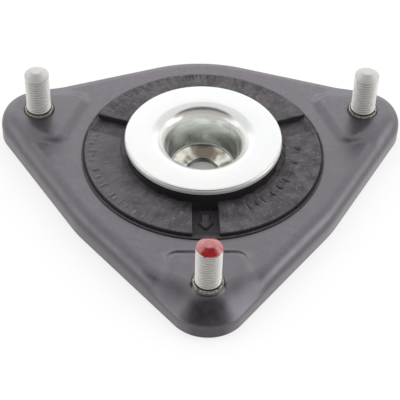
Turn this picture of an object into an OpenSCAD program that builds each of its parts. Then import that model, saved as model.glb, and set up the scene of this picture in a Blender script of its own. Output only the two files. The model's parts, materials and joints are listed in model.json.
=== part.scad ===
// Strut top mount: a pressed three-stud plate, a bonded rubber ring, and a plated dish on a pressed hub.
// Millimetres. +Z is up, along the strut rod. The origin is the centre of the rod hole, on the hub's lower
// face, where the rod's shoulder seats. The front stud is towards -Y.

/* [Stud pattern] */
// Diameter of the circle through the three studs
stud_circle_d = 144; // [140:1:150]
// Centre distance of the two rear studs, as a share of that circle's diameter
rear_stud_share = 0.9375; // [0.9:0.0025:0.96]
// Thread diameter of the studs
stud_d = 10; // [8:1:11]
// Height of the stud tips above the stud pads
stud_reach = 20.5; // [18:0.5:30]

/* [Upper plate] */
// Radius of the plate's round middle
plate_r = 61; // [60:0.5:64]
// Radius of the plate's corners around the studs
corner_r = 15.9; // [15.4:0.1:18]
// Sheet thickness of the upper plate
sheet_t = 2.5; // [2:0.1:2.8]
// Outer radius of the bend between the plate and its rim
rim_bend_r = 6; // [5:0.5:7]
// Height of the stud pads above the rod seat
pad_h = 12.6; // [12:0.1:14]
// Height of the stud pads above the plate around them
pad_rise = 1.5; // [1:0.1:2]
// Width of the stud pads
pad_w = 31.5; // [30:0.1:32]
// Depth of the rim's edge below the rod seat
rim_drop = 0.4; // [0.3:0.1:2]

/* [Lower plate] */
// Sheet thickness of the lower plate
lower_t = 2; // [1.6:0.1:2.2]
// Inner diameter of the bearing seat
seat_d = 66; // [62:1:70]

/* [Rubber] */
// Outer diameter of the rubber's thin lip
rubber_d = 98.4; // [96:0.2:100]
// Height of the rubber sectors above the plate
sector_rise = 2; // [1.6:0.1:3]
// Width of the three slots between the sectors
slot_w = 10.4; // [8:0.2:12]
// Depth of the slots
slot_depth = 2.7; // [2.2:0.1:3]

/* [Dish and hub] */
// Outer diameter of the dish
dish_d = 63.2; // [60:0.2:65]
// Height of the dish's flange above the stud pads
dish_rise = 7.4; // [6:0.2:9]
// Sheet thickness of the dish
dish_t = 2.4; // [2:0.1:2.6]
// Outer radius of the lip between the flange and the funnel
dish_lip_r = 6; // [5:0.2:7]
// Slope of the funnel's wall from upright, in degrees
funnel_slope = 15; // [12:1:18]
// Inner diameter of the funnel's lower end, the nut's well
well_d = 25.4; // [23:0.2:27]
// Diameter of the strut rod's hole
rod_hole_d = 12.2; // [10.2:0.5:14.2]
// Sheet thickness of the hub
hub_t = 2; // [1.6:0.1:2.2]
// Depth of the hub's bowl below the funnel
bowl_depth = 2.5; // [2:0.1:3]

/* [Hidden] */
$fn = 96;
cut = 1;

// Stud pattern: the three azimuths about the rod, front, left and right.
stud_pitch_r = stud_circle_d / 2;
rear_angle = acos(rear_stud_share);
front_angle = 270;
left_angle = 180 - rear_angle;
right_angle = rear_angle;
stud_angles = [front_angle, left_angle, right_angle];

// Upper plate: heights, and the form of the raised pads and of the lip round each stud hole.
plate_z = pad_h - pad_rise;
plate_under_z = plate_z - sheet_t;
pad_under_z = pad_h - sheet_t;
pad_in = 16.75;
pad_corner_r = 4;
pad_set_in = 0.3;
lip_wall = 0.45;
lip_h = 0.8;

// Studs: a knurled shank pressed through the pad, a neck, the thread and a cone at the tip.
stud_r = stud_d / 2;
shank_r = stud_r + 0.2;
stud_gap = 0.1;
neck_r = stud_r - 0.65;
head_r = stud_r + 3;
head_h = 3;
neck_from = -0.4;
thread_from = 1.8;
cone_h = 2;
tip_r = 0.44 * stud_r;

// Rubber: the plate's opening holds it, and the lower plate's wall locks it below.
lip_overlap = 2.2;
opening_r = rubber_d / 2 - lip_overlap;
rubber_lip_h = 0.8;
rubber_lip_in = opening_r - 0.6;
sector_out_r = rubber_d / 2 - 1.4;
sector_in_r = dish_d / 2 + 1.4;
sector_top = plate_z + sector_rise;
slot_z = sector_top - slot_depth;
recess_z = slot_z - 0.8;
rubber_under_z = 0.7;
arrow_h = 0.5;

// Hub: a bowl of one radius on top, from the rod hole up to its flange.
rod_r = rod_hole_d / 2;
well_r = well_d / 2;
bowl_r = well_r + 0.2;
hub_seat_z = hub_t + bowl_depth;
bowl_centre_z = (bowl_r * bowl_r - rod_r * rod_r + hub_seat_z * hub_seat_z - hub_t * hub_t) / (2 * bowl_depth);
bowl_sphere_r = sqrt(pow(rod_r, 2) + pow(bowl_centre_z - hub_t, 2));
bowl_out_r = sqrt(pow(bowl_sphere_r + hub_t, 2) - pow(bowl_centre_z - bowl_depth, 2));
hub_flange_r = sector_in_r - 4;

// Dish: the funnel stands on the hub's flange. Its wall is let into the end of the lip.
dish_top = pad_h + dish_rise;
let_in = 0.05;
let_in_angle = 3;
lip_end = 180 - funnel_slope;
lip_centre_z = dish_top - dish_lip_r;
funnel_top_z = lip_centre_z + (dish_lip_r - let_in) * sin(lip_end - let_in_angle);
funnel_top_r = well_r + (funnel_top_z - hub_seat_z) * tan(funnel_slope);
lip_centre_r = funnel_top_r - (dish_lip_r - let_in) * cos(lip_end - let_in_angle);
funnel_wall = (dish_t - 2 * let_in) / cos(funnel_slope);
rubber_bore_r = well_r + (recess_z - hub_seat_z) * tan(funnel_slope) + funnel_wall + 0.6;

// Lower plate: a flange under the upper plate, a wall round the rubber and the bearing seat.
wall_in_r = opening_r + 2;
lower_flange_r = plate_r - rim_bend_r - 0.5;
seat_under_z = 0.2;
seat_top_z = seat_under_z + lower_t;
seat_bend_in = 1;
seat_bend_out = seat_bend_in + lower_t;
seat_bend_r = wall_in_r - seat_bend_in;
seat_bend_z = seat_top_z + seat_bend_in;

// Round disc with a rounded top edge, the form from which the plate's outline is drawn
module edge_disc(outer, top, bottom, bend) {
    rotate_extrude($fn = 72)
        polygon(concat([[0, top], [0, bottom], [outer, bottom]],
                       [for (a = [0 : 15 : 90]) [outer - bend + bend * cos(a), top - bend + bend * sin(a)]]));
}

// The plate's lobed outline with a rounded top edge, set in by a distance all round
module lobed_block(inset, top, bottom, bend) {
    hull() {
        edge_disc(plate_r - inset, top, bottom, bend);
        for (a = stud_angles)
            rotate([0, 0, a])
                translate([stud_pitch_r, 0, 0]) edge_disc(corner_r - inset, top, bottom, bend);
    }
}

// Raised stud pad, along +X: sloped sides and rounded inner corners, open towards the rim
module pad_block(inset, top, base) {
    rise = top - base;
    half = pad_w / 2 - inset;
    back = stud_pitch_r - pad_in + inset;
    corner = pad_corner_r - inset;
    corner_x = back + corner;
    reach = stud_pitch_r + corner_r;
    // sloped sides, seen along X
    translate([corner_x, 0, base]) rotate([90, 0, 90]) linear_extrude(reach - corner_x)
        polygon([[-half, 0], [half, 0], [half - rise, rise], [rise - half, rise]]);
    // sloped inner edge, seen along Y
    translate([0, half - corner, base]) rotate([90, 0, 0]) linear_extrude(2 * (half - corner))
        polygon([[back, 0], [reach, 0], [reach, rise], [back + rise, rise]]);
    for (side = [-1, 1])
        translate([corner_x, side * (half - corner), base])
            cylinder(h = rise, r1 = corner, r2 = corner - rise);
    // straight part below, where the rim's bend falls away
    translate([corner_x, -half, base - rim_bend_r]) cube([reach - corner_x, 2 * half, rim_bend_r]);
}

// One ring between two radii and two heights
module ring(inner, outer, bottom, top) {
    rotate_extrude() translate([inner, bottom]) square([outer - inner, top - bottom]);
}

// The pressing's outer form, or its hollow side when drawn one sheet thickness down and in
module plate_form(drop, bottom) {
    thin = drop * (sqrt(2) - 1);
    lobed_block(drop, plate_z - drop, bottom, rim_bend_r - drop);
    intersection() {
        for (a = stud_angles)
            rotate([0, 0, a]) pad_block(thin, pad_h - drop, plate_z - drop);
        lobed_block(drop + pad_set_in, pad_h - drop, bottom, rim_bend_r - drop);
    }
}

module upper_plate() {
    color([0.36, 0.34, 0.37])
        difference() {
            union() {
                plate_form(0, -rim_drop);
                for (a = stud_angles)
                    rotate([0, 0, a])
                        translate([stud_pitch_r, 0, pad_h - cut])
                            cylinder(h = cut + lip_h, r = shank_r + stud_gap + lip_wall);
            }
            plate_form(sheet_t, -rim_drop - cut);
            for (a = stud_angles)
                rotate([0, 0, a])
                    translate([stud_pitch_r, 0, 0]) {
                        cylinder(h = pad_h + neck_from, r = shank_r);
                        translate([0, 0, pad_h + neck_from])
                            cylinder(h = lip_h - neck_from + cut, r = shank_r + stud_gap);
                    }
            translate([0, 0, plate_under_z - cut]) cylinder(h = sheet_t + 2 * cut, r = opening_r);
        }
}

module lower_plate() {
    color([0.22, 0.21, 0.22])
        rotate_extrude() {
            translate([wall_in_r, plate_under_z - lower_t]) square([lower_flange_r - wall_in_r, lower_t]);
            translate([wall_in_r, seat_bend_z]) square([lower_t, plate_under_z - seat_bend_z]);
            translate([seat_d / 2, seat_under_z]) square([seat_bend_r - seat_d / 2, lower_t]);
            translate([seat_bend_r, seat_bend_z])
                intersection() {
                    difference() {
                        circle(seat_bend_out);
                        circle(seat_bend_in);
                    }
                    translate([0, -seat_bend_out]) square(seat_bend_out);
                }
        }
}

// Half section of the rubber up to the floor of its slots, and the thin lip on the plate
module rubber_section() {
    translate([rubber_bore_r, rubber_under_z]) square([seat_d / 2 - rubber_bore_r, plate_under_z - rubber_under_z]);
    translate([rubber_bore_r, seat_top_z]) square([seat_bend_r - rubber_bore_r, plate_under_z - seat_top_z]);
    translate([seat_bend_r, seat_bend_z]) square([seat_bend_in, plate_under_z - seat_bend_z]);
    translate([seat_bend_r, seat_bend_z]) circle(seat_bend_in);
    translate([rubber_bore_r, plate_under_z]) square([sector_in_r - rubber_bore_r, recess_z - plate_under_z]);
    translate([sector_in_r, plate_under_z]) square([opening_r - sector_in_r, slot_z - plate_under_z]);
    translate([rubber_lip_in, slot_z]) square([opening_r - rubber_lip_in, plate_z + rubber_lip_h - slot_z]);
    translate([rubber_lip_in, plate_z]) square([rubber_d / 2 - rubber_lip_in, rubber_lip_h]);
}

// Arrow on the floor of the front slot, pointing away from the rod
module slot_arrow() {
    tip = sector_in_r + 9.6;
    head_l = 3.4;
    shaft_l = 5;
    head_w = min(5.8, slot_w - 3);
    shaft_w = 0.55 * head_w;
    rotate([0, 0, front_angle])
        translate([0, 0, slot_z - arrow_h])
            linear_extrude(2 * arrow_h)
                polygon([[tip, 0], [tip - head_l, head_w / 2], [tip - head_l, shaft_w / 2],
                         [tip - head_l - shaft_l, shaft_w / 2], [tip - head_l - shaft_l, -shaft_w / 2],
                         [tip - head_l, -shaft_w / 2], [tip - head_l, -head_w / 2]]);
}

// What one slot takes away, along +X: all above the lip, and down to the floor inside the lip
module slot_block() {
    translate([sector_in_r / 2, -slot_w / 2, plate_z + rubber_lip_h])
        cube([rubber_d / 2, slot_w, sector_rise + cut]);
    intersection() {
        translate([sector_in_r / 2, -slot_w / 2, slot_z]) cube([rubber_d / 2, slot_w, slot_depth + cut]);
        translate([0, 0, slot_z - cut]) cylinder(h = slot_depth + 3 * cut, r = rubber_lip_in);
    }
}

module rubber_insulator() {
    color([0.17, 0.165, 0.17]) {
        difference() {
            union() {
                rotate_extrude() rubber_section();
                difference() {
                    union() {
                        ring(sector_in_r, rubber_lip_in, slot_z, sector_top);
                        ring(rubber_lip_in, sector_out_r, plate_z, sector_top);
                    }
                    for (a = stud_angles)
                        rotate([0, 0, a]) slot_block();
                }
                slot_arrow();
            }
            ring(rubber_bore_r - cut, hub_flange_r, bowl_depth, hub_seat_z);
        }
    }
}

module inner_hub() {
    color([0.70, 0.71, 0.70])
        rotate_extrude() {
            translate([bowl_r, bowl_depth]) square([hub_flange_r - bowl_r, hub_t]);
            intersection() {
                translate([0, bowl_centre_z])
                    difference() {
                        circle(bowl_sphere_r + hub_t);
                        circle(bowl_sphere_r);
                    }
                translate([rod_r, 0]) square([bowl_out_r - rod_r, hub_seat_z]);
            }
        }
}

// Point of the dish's lip, by angle and radius about the lip's centre
function lip_point(angle, r) = [lip_centre_r + r * cos(angle), lip_centre_z + r * sin(angle)];

module stop_dish() {
    inside_r = dish_lip_r - dish_t;
    middle_r = dish_lip_r - dish_t / 2;
    color([0.82, 0.83, 0.82]) {
        // lip from the flange into the funnel
        rotate_extrude()
            intersection() {
                translate([lip_centre_r, lip_centre_z])
                    difference() {
                        circle(dish_lip_r);
                        circle(inside_r);
                    }
                polygon([lip_point(0, 0), lip_point(90, 2 * dish_lip_r), lip_point(135, 2 * dish_lip_r),
                         lip_point(lip_end, 2 * dish_lip_r)]);
            }
        // flat flange, let into the lip at its middle
        rotate_extrude()
            polygon([lip_point(90, inside_r), [dish_d / 2, dish_top - dish_t], [dish_d / 2, dish_top],
                     lip_point(90, dish_lip_r), lip_point(90 + 4 * let_in_angle, middle_r)]);
        // funnel wall down to the hub
        rotate_extrude()
            polygon([[well_r, hub_seat_z], lip_point(lip_end - let_in_angle, dish_lip_r - let_in),
                     lip_point(lip_end - 4 * let_in_angle, middle_r),
                     lip_point(lip_end - let_in_angle, inside_r + let_in), [well_r + funnel_wall, hub_seat_z]]);
    }
}

// One stud, pressed in from below, at its azimuth
module stud(angle) {
    rotate([0, 0, angle])
        translate([stud_pitch_r, 0, pad_h])
            color([0.80, 0.79, 0.76])
                rotate_extrude()
                    polygon([[0, -sheet_t - head_h], [head_r - 0.6, -sheet_t - head_h],
                             [head_r, 0.6 - sheet_t - head_h], [head_r, -sheet_t], [shank_r, -sheet_t],
                             [shank_r, neck_from], [neck_r, neck_from], [neck_r, thread_from - 0.65],
                             [stud_r, thread_from], [stud_r, stud_reach - cone_h], [tip_r, stud_reach],
                             [0, stud_reach]]);
}

module stud_front() { stud(front_angle); }
module stud_left() { stud(left_angle); }
module stud_right() { stud(right_angle); }

upper_plate();
lower_plate();
rubber_insulator();
inner_hub();
stop_dish();
stud_front();
stud_left();
stud_right();
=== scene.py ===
# %% [markdown]
# A strut mount joins the top of a car's front strut to the body. Three studs pass up through the strut
# tower, a rubber ring soaks up the shocks, and a plated dish on a pressed hub takes the rod's nut. The
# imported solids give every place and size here. This lesson puts the finish on them: soft pressed bends,
# moulded rubber, cut threads, plating and paint.

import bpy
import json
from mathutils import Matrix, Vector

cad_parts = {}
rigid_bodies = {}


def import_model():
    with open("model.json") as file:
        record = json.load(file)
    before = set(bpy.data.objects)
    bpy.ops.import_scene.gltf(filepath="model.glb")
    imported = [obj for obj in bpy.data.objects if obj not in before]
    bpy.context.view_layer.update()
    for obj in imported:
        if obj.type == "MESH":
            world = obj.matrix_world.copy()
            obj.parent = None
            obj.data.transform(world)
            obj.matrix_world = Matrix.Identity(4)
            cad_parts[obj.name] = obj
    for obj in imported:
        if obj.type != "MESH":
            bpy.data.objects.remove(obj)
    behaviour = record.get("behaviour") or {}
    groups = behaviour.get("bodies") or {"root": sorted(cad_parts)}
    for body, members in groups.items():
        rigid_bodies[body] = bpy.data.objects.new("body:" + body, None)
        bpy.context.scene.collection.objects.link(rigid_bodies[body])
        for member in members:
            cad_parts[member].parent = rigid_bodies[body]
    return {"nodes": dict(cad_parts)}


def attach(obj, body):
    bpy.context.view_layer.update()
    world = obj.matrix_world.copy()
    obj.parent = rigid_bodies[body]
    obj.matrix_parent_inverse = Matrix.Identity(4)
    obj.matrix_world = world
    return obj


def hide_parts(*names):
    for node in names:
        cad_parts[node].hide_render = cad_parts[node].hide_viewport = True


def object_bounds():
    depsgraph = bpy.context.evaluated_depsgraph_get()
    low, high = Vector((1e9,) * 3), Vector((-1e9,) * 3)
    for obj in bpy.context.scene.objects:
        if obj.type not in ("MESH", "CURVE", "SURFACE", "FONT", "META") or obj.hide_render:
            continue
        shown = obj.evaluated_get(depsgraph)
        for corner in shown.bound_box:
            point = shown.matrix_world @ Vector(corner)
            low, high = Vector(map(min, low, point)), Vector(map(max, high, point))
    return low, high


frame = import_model()
cad_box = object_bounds()
print("solids:", sorted(frame["nodes"]))

# %% [markdown]
# Every size below is written in millimetres, as on the drawing, and turned into metres in one place.
# The mesh helper takes plain lists of points and faces, because a pressed or turned part is easiest to
# describe as rows of points. It also puts the new piece on the body and hides the solid it stands for.

# %% Mesh helper
import json
import math

import bmesh
import bpy
from mathutils import Matrix, Vector, noise

MM = 0.001


def make_piece(name, points, faces, finishes, node):
    """A piece made of the points that its faces use, put on the body in place of its solid."""
    used = sorted({index for face in faces for index in face})
    number = {index: place for place, index in enumerate(used)}
    mesh = bpy.data.meshes.new(name)
    corners = [tuple(value * MM for value in points[index]) for index in used]
    mesh.from_pydata(corners, [], [[number[index] for index in face] for face in faces])
    mesh.shade_smooth()
    for finish in finishes:
        mesh.materials.append(finish)
    piece = bpy.data.objects.new(name, mesh)
    bpy.context.scene.collection.objects.link(piece)
    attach(piece, "root")
    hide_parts(node)
    print(name, len(used), "points", len(faces), "faces")
    return piece


# %% [markdown]
# The photograph looks down on the mount at about 44 degrees with a long lens, from a little to the
# left, and the picture leans by just under two degrees. A camera is a frame of three directions, so the
# view is written as right, up and forward. That holds the lean without any angle juggling.

# %% Camera
camera_data = bpy.data.cameras.new("camera")
camera_data.lens = 124.96
camera_data.sensor_width = 36.0
camera_data.clip_start = 0.01
camera = bpy.data.objects.new("camera", camera_data)
bpy.context.scene.collection.objects.link(camera)
view_forward = Vector((0.033397, 0.713080, -0.700287)).normalized()
view_up = Vector((0.00060, 0.70066, 0.71349))
view_right = view_forward.cross(view_up).normalized()
view_up = view_right.cross(view_forward)
turn = Matrix((view_right, view_up, -view_forward)).transposed().to_4x4()
view_from = Vector((-0.019974, -0.414662, 0.391347))
camera.matrix_world = Matrix.Translation(view_from) @ turn
bpy.context.scene.camera = camera
bpy.context.scene.view_settings.view_transform = "Standard"
print("camera looks down at", round(math.degrees(math.asin(-view_forward.z)), 1), "degrees")

# %% [markdown]
# The light is a plain white tent: bright behind and beside the part, and dim above and in front, where
# the camera stands. Black coating and plating show mostly what they reflect, so the bright walls make
# the plate look grey and the dish white, and the dim side makes the front bends dark. The areas fade
# softly into each other, because a hard edge would show as a line on every bend. Directions are
# squeezed from side to side first, which makes every area wide, like a wall of the tent.

# %% Studio room
SQUEEZE = 0.27
DARKEST = 0.06
world = bpy.data.worlds.new("studio")
bpy.context.scene.world = world
world.use_nodes = True
room = world.node_tree.nodes
room_links = world.node_tree.links
direction = room.new("ShaderNodeTexCoord")
widened = room.new("ShaderNodeVectorMath")
widened.operation = "MULTIPLY"
widened.inputs[1].default_value = (SQUEEZE, 1.0, 1.0)
unit = room.new("ShaderNodeVectorMath")
unit.operation = "NORMALIZE"
room_links.new(direction.outputs["Generated"], widened.inputs[0])
room_links.new(widened.outputs["Vector"], unit.inputs[0])


def room_area(towards, fade_from, fade_to, level_from, level_to):
    """A value that changes softly from one level to another around a direction in the room."""
    facing = room.new("ShaderNodeVectorMath")
    facing.operation = "DOT_PRODUCT"
    facing.inputs[1].default_value = Vector(towards).normalized()
    fade = room.new("ShaderNodeMapRange")
    fade.interpolation_type = "SMOOTHSTEP"
    fade.inputs["From Min"].default_value = fade_from
    fade.inputs["From Max"].default_value = fade_to
    fade.inputs["To Min"].default_value = level_from
    fade.inputs["To Max"].default_value = level_to
    room_links.new(unit.outputs["Vector"], facing.inputs[0])
    room_links.new(facing.outputs["Value"], fade.inputs["Value"])
    return fade.outputs["Result"]


level = room_area((-0.02, -0.485, 0.875), 0.840, 0.940, 1.46, DARKEST)
behind_part = room_area((0.0, 0.87, 0.50), 0.940, 0.990, 0.0, 0.72)
low_in_front = room_area((0.0, -0.97, 0.20), 0.72, 0.96, 0.0, -0.65)
for more in (behind_part, low_in_front):
    added = room.new("ShaderNodeMath")
    added.operation = "ADD"
    room_links.new(level, added.inputs[0])
    room_links.new(more, added.inputs[1])
    level = added.outputs["Value"]
lowest = room.new("ShaderNodeMath")
lowest.operation = "MAXIMUM"
lowest.inputs[1].default_value = DARKEST
room_links.new(level, lowest.inputs[0])
background = room["Background"]
background.inputs["Color"].default_value = (1.0, 1.0, 1.0, 1.0)
room_links.new(lowest.outputs["Value"], background.inputs["Strength"])
print("room set")

# %% [markdown]
# Two soft panels stand left and right. A lamp's energy grows with its area, so that a panel's
# brightness doesn't depend on its size. The right one is brighter, as the right flanks in the
# photograph are.

# %% Soft panels
PANEL_AIM = Vector((0.0, 0.0, 0.01))
PANEL_WIDTH = 0.7
PANEL_HEIGHT = 0.5


def soft_panel(name, place, brightness):
    data = bpy.data.lights.new(name, "AREA")
    data.shape = "RECTANGLE"
    data.size = PANEL_WIDTH
    data.size_y = PANEL_HEIGHT
    data.energy = brightness * 4.0 * PANEL_WIDTH * PANEL_HEIGHT
    panel = bpy.data.objects.new(name, data)
    bpy.context.scene.collection.objects.link(panel)
    panel.location = place
    panel.rotation_euler = (PANEL_AIM - Vector(place)).to_track_quat("-Z", "Y").to_euler()
    print(name, round(data.energy, 2), "W")


soft_panel("left_panel", (-0.80, -0.15, 0.30), 0.70)
soft_panel("right_panel", (0.80, -0.15, 0.30), 1.45)

# %% [markdown]
# The floor is a sheet of paper just under the rim. It is scenery, so it is staged and not part of the
# mount. It glows for the camera and in reflections, which makes the background white, and its own grey
# still takes the part's soft shadow. It glows less round the rod's axis, where the mount keeps the
# light out.

# %% Floor
FLOOR_HALF = 3.0
GLOW = 0.75
floor_mesh = bpy.data.meshes.new("floor")
floor_z = cad_box[0][2] - 0.0001
floor_corners = [(FLOOR_HALF * x, FLOOR_HALF * y, floor_z) for x, y in ((-1, -1), (1, -1), (1, 1), (-1, 1))]
floor_mesh.from_pydata(floor_corners, [], [(0, 1, 2, 3)])
floor = bpy.data.objects.new("floor", floor_mesh)
bpy.context.scene.collection.objects.link(floor)
paper = bpy.data.materials.new("paper")
paper.use_nodes = True
paper_nodes = paper.node_tree.nodes
paper_links = paper.node_tree.links
shader = paper_nodes["Principled BSDF"]
shader.inputs["Base Color"].default_value = (0.25, 0.25, 0.25, 1.0)
shader.inputs["Roughness"].default_value = 0.9
shader.inputs["Specular IOR Level"].default_value = 0.1
shader.inputs["Emission Color"].default_value = (1.0, 1.0, 1.0, 1.0)
rays = paper_nodes.new("ShaderNodeLightPath")
seen = None
for kind in ("Is Camera Ray", "Is Glossy Ray", "Is Transmission Ray"):
    more = paper_nodes.new("ShaderNodeMath")
    more.operation = "MULTIPLY_ADD"
    more.inputs[1].default_value = GLOW
    more.inputs[2].default_value = 0.0
    paper_links.new(rays.outputs[kind], more.inputs[0])
    if seen:
        paper_links.new(seen, more.inputs[2])
    seen = more.outputs["Value"]
spot_on_floor = paper_nodes.new("ShaderNodeTexCoord")
from_axis = paper_nodes.new("ShaderNodeVectorMath")
from_axis.operation = "LENGTH"
covered = paper_nodes.new("ShaderNodeMapRange")
covered.inputs["From Min"].default_value = 0.020
covered.inputs["From Max"].default_value = 0.045
covered.inputs["To Min"].default_value = 0.30
strength = paper_nodes.new("ShaderNodeMath")
strength.operation = "MULTIPLY"
paper_links.new(spot_on_floor.outputs["Object"], from_axis.inputs[0])
paper_links.new(from_axis.outputs["Value"], covered.inputs["Value"])
paper_links.new(covered.outputs["Result"], strength.inputs[0])
paper_links.new(seen, strength.inputs[1])
paper_links.new(strength.outputs["Value"], shader.inputs["Emission Strength"])
floor_mesh.materials.append(paper)
print("floor at", round(floor_z / MM, 2), "mm")

# %% [markdown]
# Each finish is a small node tree on the part's own coordinates, so the grain keeps its true size. Two
# noises do most of the work: one mixes two tones of the colour, one varies the gloss or the relief. A
# helper makes them the same way each time, and each finish below only says what differs.


# %% Finish helper
def start_finish(name, roughness, metallic=0.0, specular=0.5):
    finish = bpy.data.materials.new(name)
    finish.use_nodes = True
    shader = finish.node_tree.nodes["Principled BSDF"]
    shader.inputs["Roughness"].default_value = roughness
    shader.inputs["Metallic"].default_value = metallic
    shader.inputs["Specular IOR Level"].default_value = specular
    place = finish.node_tree.nodes.new("ShaderNodeTexCoord")
    return finish, shader, place.outputs["Object"]


def grain(finish, place, scale, detail=4.0, rough=0.6):
    cloud = finish.node_tree.nodes.new("ShaderNodeTexNoise")
    cloud.inputs["Scale"].default_value = scale
    cloud.inputs["Detail"].default_value = detail
    cloud.inputs["Roughness"].default_value = rough
    finish.node_tree.links.new(place, cloud.inputs["Vector"])
    return cloud.outputs["Fac"]


def along_axis(finish, place, axis):
    split = finish.node_tree.nodes.new("ShaderNodeSeparateXYZ")
    finish.node_tree.links.new(place, split.inputs["Vector"])
    return split.outputs[axis]


def combine(finish, first, second, operation):
    joined = finish.node_tree.nodes.new("ShaderNodeMath")
    joined.operation = operation
    finish.node_tree.links.new(first, joined.inputs[0])
    finish.node_tree.links.new(second, joined.inputs[1])
    return joined.outputs["Value"]


def ramp(finish, value, low, high, to_low, to_high):
    spread = finish.node_tree.nodes.new("ShaderNodeMapRange")
    spread.inputs["From Min"].default_value = low
    spread.inputs["From Max"].default_value = high
    spread.inputs["To Min"].default_value = to_low
    spread.inputs["To Max"].default_value = to_high
    finish.node_tree.links.new(value, spread.inputs["Value"])
    return spread.outputs["Result"]


def two_tones(finish, factor, first, second):
    mix = finish.node_tree.nodes.new("ShaderNodeMix")
    mix.data_type = "RGBA"
    for socket, colour in ((mix.inputs[6], first), (mix.inputs[7], second)):
        if isinstance(colour, tuple):
            socket.default_value = (*colour, 1.0)
        else:
            finish.node_tree.links.new(colour, socket)
    finish.node_tree.links.new(factor, mix.inputs[0])
    return mix.outputs[2]


def relief(finish, shader, height, strength, depth):
    bump = finish.node_tree.nodes.new("ShaderNodeBump")
    bump.inputs["Strength"].default_value = strength
    bump.inputs["Distance"].default_value = depth
    finish.node_tree.links.new(height, bump.inputs["Height"])
    finish.node_tree.links.new(bump.outputs["Normal"], shader.inputs["Normal"])


# %% [markdown]
# The pressed plates are dipped in black paint, baked to a half gloss with a faint purple cast. The coat
# is never quite even, so its gloss drifts over a few millimetres, light flecks speckle it and a very
# fine orange peel lies on it. Low on the rim its colour is painted lighter, as painted reflection of the
# bright floor and sides. It is lightest on the right, as painted light from the brighter right panel. At
# the front corner that painted reflection is left off, and the coat there is dull and rougher. Where the
# studs went in, the lip of each hole is rubbed to bare steel, whose light tone is also a painted
# highlight.

# %% Dipped coat
def dipped_coat(name, dark, light, painted_rim_light, roughness):
    finish, shader, place = start_finish(name, roughness, specular=0.95)
    shader.inputs["Specular Tint"].default_value = (0.97, 0.90, 1.0, 1.0)
    shader.inputs["IOR"].default_value = 1.6
    tone = ramp(finish, grain(finish, place, 420.0), 0.35, 0.65, 0.0, 1.0)
    drift = ramp(finish, grain(finish, place, 55.0, 3.0), 0.38, 0.62, 0.0, 0.6)
    speckle = two_tones(finish, tone, dark, light)
    flecks = ramp(finish, grain(finish, place, 800.0, 4.0), 0.58, 0.72, 0.0, 0.35)
    speckle = two_tones(finish, flecks, speckle, tuple(4.0 * c for c in light))
    brown = tuple(0.5 * (a + b) * c for a, b, c in zip(dark, light, (1.08, 1.06, 0.86)))
    wall = ramp(finish, along_axis(finish, place, "Z"), 0.0050, 0.0042, 0.0, 1.0)
    corner = ramp(finish, along_axis(finish, place, "Y"), -0.076, -0.084, 0.0, 1.0)
    left_end = ramp(finish, along_axis(finish, place, "X"), -0.0120, -0.0055, 0.0, 1.0)
    right_end = ramp(finish, along_axis(finish, place, "X"), 0.0120, 0.0055, 0.0, 1.0)
    corner = combine(finish, corner, combine(finish, left_end, right_end, "MULTIPLY"), "MULTIPLY")
    # The rim's lower wall is painted lighter, as painted reflection, and most on the right as painted light
    # from the right panel. At the front corner it keeps the coat's own tone.
    rim_painted_light = ramp(finish, along_axis(finish, place, "Z"), 0.0066, 0.0026, 0.0, 0.70)
    right_painted_light = ramp(finish, along_axis(finish, place, "X"), -0.02, 0.05, 0.0, 1.0)
    even = two_tones(finish, drift, speckle, brown)
    rim_painted_light_colour = two_tones(finish, right_painted_light, painted_rim_light, tuple(1.7 * c for c in painted_rim_light))
    rim_painted_light_colour = two_tones(finish, corner, rim_painted_light_colour, light)
    finish.node_tree.links.new(two_tones(finish, rim_painted_light, even, rim_painted_light_colour), shader.inputs["Base Color"])
    gloss = ramp(finish, grain(finish, place, 130.0), 0.3, 0.7, roughness - 0.04, roughness + 0.05)
    dull = ramp(finish, combine(finish, wall, corner, "MULTIPLY"), 0.0, 1.0, 0.0, 0.62)
    finish.node_tree.links.new(combine(finish, gloss, dull, "MAXIMUM"), shader.inputs["Roughness"])
    relief(finish, shader, grain(finish, place, 1100.0, 2.0), 0.20, 0.0001)
    return finish


# The rubbed lip is a light tan steel, and its light tone also serves as a painted highlight on the collars.
rubbed_edge_and_highlight, shader, place = start_finish("rubbed_edge_and_highlight", 0.4, metallic=0.4)
wear = ramp(rubbed_edge_and_highlight, grain(rubbed_edge_and_highlight, place, 900.0, 4.0), 0.4, 0.6, 0.0, 1.0)
rub = two_tones(rubbed_edge_and_highlight, wear, (0.12, 0.10, 0.09), (0.42, 0.37, 0.31))
rubbed_edge_and_highlight.node_tree.links.new(rub, shader.inputs["Base Color"])
rubbed_edge_and_highlight.node_tree.links.new(ramp(rubbed_edge_and_highlight, wear, 0.0, 1.0, 0.5, 0.32), shader.inputs["Roughness"])
plate_coat = dipped_coat(
    "plate_coat", (0.009, 0.007, 0.011), (0.035, 0.030, 0.040), (0.130, 0.122, 0.126), 0.35)
lower_coat = dipped_coat(
    "lower_coat", (0.026, 0.024, 0.027), (0.040, 0.037, 0.040), (0.034, 0.031, 0.034), 0.42)
print("coats:", plate_coat.name, lower_coat.name)

# %% [markdown]
# The rubber is black, and dust and bloom lighten it in soft patches. The low floors, the front slot and
# the hollow behind it, are kept black as painted shade, and only towards the rear do they take the dust
# too. So a point's height and its place to the rear say how much dust it shows, and faces that lie flat
# show more of it than steep ones. The dust is rubbed even on the left, and the raised ticks are
# lightest. It is rough enough to have no clear reflection, only a grey sheen, and the mould leaves a
# leathery grain.

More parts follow.
